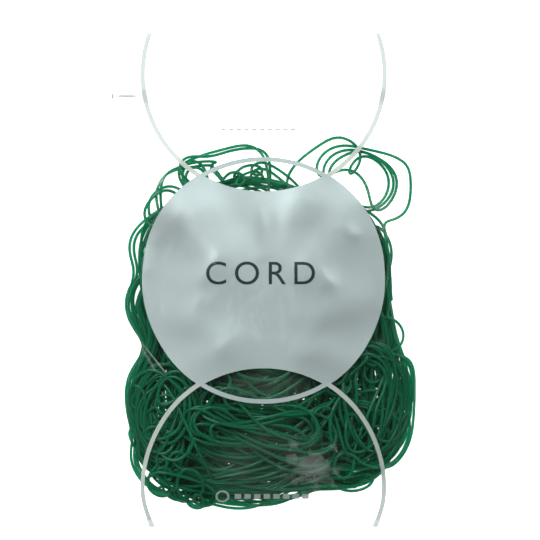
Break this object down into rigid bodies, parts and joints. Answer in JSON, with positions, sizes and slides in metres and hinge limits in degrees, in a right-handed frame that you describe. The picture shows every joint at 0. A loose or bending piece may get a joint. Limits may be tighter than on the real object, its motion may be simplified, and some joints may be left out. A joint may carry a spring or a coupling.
{
  "type": "pouch of soft green cord",
  "caption": "Clear flat film pouch with a press-to-close zip and a silver circle print, stuffed with loose skeins of soft round green cord.",
  "frame": {"origin": "centre of the pouch's back, on the surface it lies on", "axes": "+X to the pouch's right, +Y to its mouth end, +Z out of its printed front"},
  "size_m": [0.2, 0.32, 0.0265],
  "materials": {
    "clear_film": "clear glossy polyolefin film",
    "film_seal": "clear film, heat sealed",
    "zip_strip": "clear extruded polyethylene",
    "silver_ink": "opaque silver grey gravure print under film",
    "dark_ink": "dark grey print",
    "white_ink": "white print",
    "green_cord": "smooth glossy deep green elastomer"
  },
  "bodies": {
    "root": {"front_film": "clear_film", "back_film": "clear_film", "side_seal_left": "film_seal", "side_seal_right": "film_seal", "bottom_seal": "film_seal", "zip_rib_strip": "zip_strip", "zip_groove_strip": "zip_strip", "print_disc": "silver_ink", "print_ring_top": "silver_ink", "print_ring_bottom": "silver_ink", "print_word": "dark_ink", "print_mark_upper": "white_ink", "print_mark_lower": "white_ink", "cord_skein_outer_back": "green_cord", "cord_skein_inner_back": "green_cord", "cord_skein_left": "green_cord", "cord_skein_middle": "green_cord", "cord_skein_right": "green_cord", "cord_skein_bottom": "green_cord", "cord_skein_upper": "green_cord", "cord_loops_top_left": "green_cord", "cord_loops_top_right": "green_cord", "cord_skein_front_sweep": "green_cord", "cord_loops_lower_left": "green_cord", "cord_loops_lower_right": "green_cord", "cord_skein_front_upper": "green_cord"}
  },
  "joints": []
}
